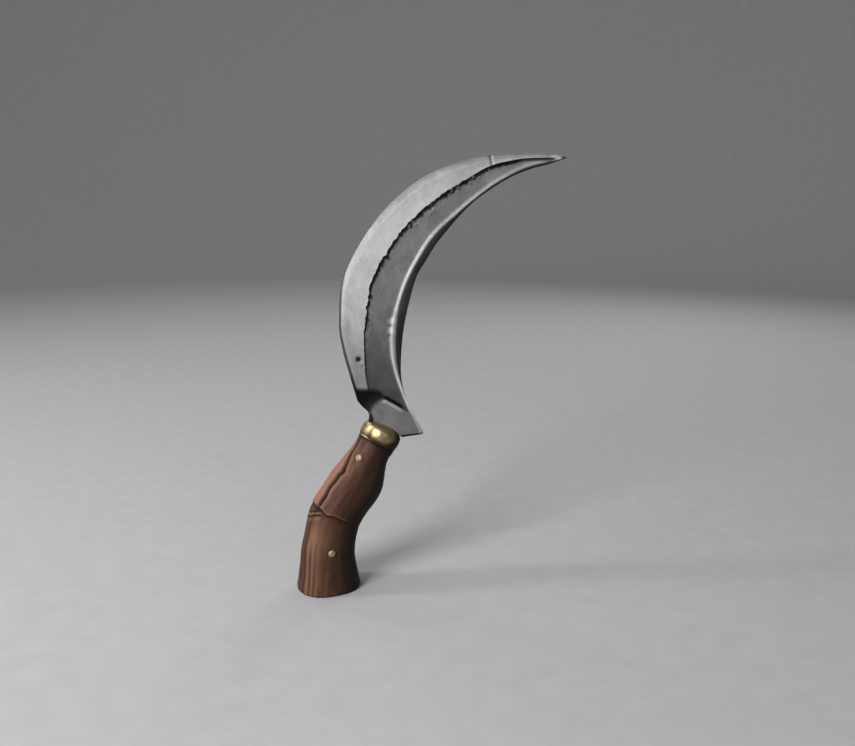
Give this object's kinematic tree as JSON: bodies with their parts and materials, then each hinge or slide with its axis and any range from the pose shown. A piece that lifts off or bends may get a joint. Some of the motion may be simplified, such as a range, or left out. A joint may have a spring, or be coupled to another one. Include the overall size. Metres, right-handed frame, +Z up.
{
  "type": "hand sickle",
  "caption": "Hand sickle with a crescent blade, brass ferrule and a bent two-scale wooden grip held by rivets, for cutting stalks.",
  "frame": {"origin": "centre of the flat butt end of the handle", "axes": "+Z up along the standing sickle, away from the butt; +X in the blade's plane, towards its tip; +Y square to the blade"},
  "size_m": [0.2062, 0.0404, 0.2952],
  "materials": {
    "forged_steel": "forged and ground steel, dull in the fuller, worn bright on the ridges",
    "brass": "old polished brass with light dents",
    "handle_wood": "dark oiled hardwood, worn smooth, long grain along the grip"
  },
  "bodies": {
    "root": {"blade": "forged_steel", "ferrule": "brass", "near_scale": "handle_wood", "far_scale": "handle_wood", "upper_rivet": "brass", "upper_rivet_burr": "brass", "lower_rivet": "brass", "lower_rivet_burr": "brass"}
  },
  "joints": []
}
